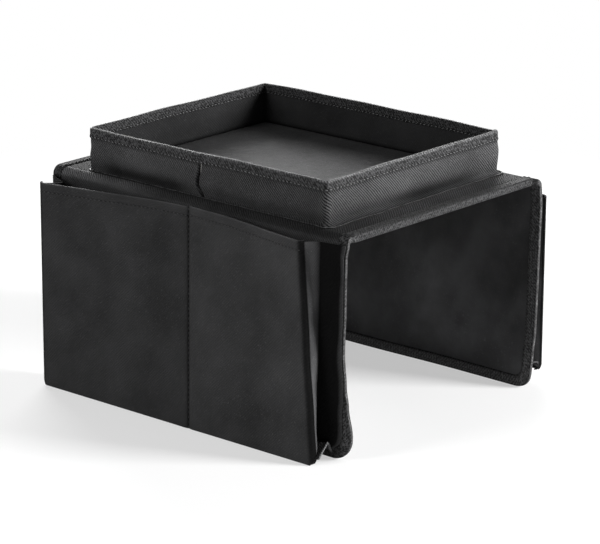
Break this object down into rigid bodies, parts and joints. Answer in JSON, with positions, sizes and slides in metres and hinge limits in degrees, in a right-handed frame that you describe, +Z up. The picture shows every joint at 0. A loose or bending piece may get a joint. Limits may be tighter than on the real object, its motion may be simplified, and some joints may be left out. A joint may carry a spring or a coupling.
{
  "type": "sofa arm tray",
  "caption": "Cloth saddle for a sofa arm with a walled tray on top, folding flaps and expanding bellows pockets on the flaps.",
  "frame": {"origin": "centre of the object's outer box, on the surface that the flaps' bottom edges stand on", "axes": "+X across the sofa arm, +Y along the arm (the longest extent), +Z up"},
  "size_m": [0.344, 0.374, 0.253],
  "materials": {
    "black_twill": "woven polyester twill, matt",
    "black_lining": "smooth non-woven lining, soft sheen",
    "black_tape": "folded woven tape, stitched",
    "board": "flat stiffener board, hidden",
    "interlining": "firm felt interlining, hidden"
  },
  "bodies": {
    "saddle": {"saddle_top_cloth": "black_twill", "saddle_board": "board", "saddle_lining": "black_lining", "saddle_front_binding": "black_tape", "saddle_rear_binding": "black_tape", "tray_outer_band": "black_twill", "tray_inner_band": "black_twill", "tray_board_left": "board", "tray_board_right": "board", "tray_board_front": "board", "tray_board_rear": "board", "tray_rim_binding": "black_tape", "tray_base_welt": "black_tape", "left_fold": "black_twill", "right_fold": "black_twill", "left_lining_fold": "black_lining", "right_lining_fold": "black_lining"},
    "floor_insert": {"floor_board": "board", "floor_cover": "black_twill"},
    "left_flap": {"left_flap_cloth": "black_twill", "left_flap_interlining": "interlining", "left_flap_lining": "black_lining", "left_flap_binding": "black_tape", "left_pocket_divider": "black_twill", "left_front_gusset": "black_twill", "left_front_base_gusset": "black_twill", "left_rear_gusset": "black_twill", "left_rear_base_gusset": "black_twill"},
    "left_front_pocket": {"left_front_pocket_sheet": "black_twill", "left_front_mouth_hem": "black_twill"},
    "left_rear_pocket": {"left_rear_pocket_sheet": "black_twill", "left_rear_mouth_hem": "black_twill"},
    "right_flap": {"right_flap_cloth": "black_twill", "right_flap_interlining": "interlining", "right_flap_lining": "black_lining", "right_flap_binding": "black_tape", "right_pocket_divider": "black_twill", "right_front_gusset": "black_twill", "right_front_base_gusset": "black_twill", "right_rear_gusset": "black_twill", "right_rear_base_gusset": "black_twill"},
    "right_front_pocket": {"right_front_pocket_sheet": "black_twill", "right_front_mouth_hem": "black_twill"},
    "right_rear_pocket": {"right_rear_pocket_sheet": "black_twill", "right_rear_mouth_hem": "black_twill"}
  },
  "joints": [
    {"name": "floor_insert_lift", "type": "slide", "parent": "saddle", "child": "floor_insert", "axis": [0, 0, 1], "range_m": [0, 0.06]},
    {"name": "left_flap_fold", "type": "hinge", "parent": "saddle", "child": "left_flap", "pos_m": [-0.1343, 0, 0.2093], "axis": [0, 1, 0], "range_deg": [-30, 90], "deforming": ["left_fold", "left_lining_fold"]},
    {"name": "left_front_pocket_open", "type": "hinge", "parent": "left_flap", "child": "left_front_pocket", "pos_m": [-0.15, -0.00548, 0.1], "axis": [0, -0.1144, -0.9934], "range_deg": [-5.5, 6.5], "deforming": ["left_front_gusset", "left_front_base_gusset"]},
    {"name": "left_rear_pocket_open", "type": "hinge", "parent": "left_flap", "child": "left_rear_pocket", "pos_m": [-0.15, -0.00548, 0.1], "axis": [0, 0.1144, 0.9934], "range_deg": [-8, 5], "deforming": ["left_rear_gusset", "left_rear_base_gusset"]},
    {"name": "right_flap_fold", "type": "hinge", "parent": "saddle", "child": "right_flap", "pos_m": [0.1343, 0, 0.2093], "axis": [0, -1, 0], "range_deg": [-30, 90], "deforming": ["right_fold", "right_lining_fold"]},
    {"name": "right_front_pocket_open", "type": "hinge", "parent": "right_flap", "child": "right_front_pocket", "pos_m": [0.15, -0.00548, 0.1], "axis": [0, 0.1144, 0.9934], "range_deg": [-5.5, 6.5], "deforming": ["right_front_gusset", "right_front_base_gusset"]},
    {"name": "right_rear_pocket_open", "type": "hinge", "parent": "right_flap", "child": "right_rear_pocket", "pos_m": [0.15, -0.00548, 0.1], "axis": [0, -0.1144, -0.9934], "range_deg": [-8, 5], "deforming": ["right_rear_gusset", "right_rear_base_gusset"]}
  ]
}
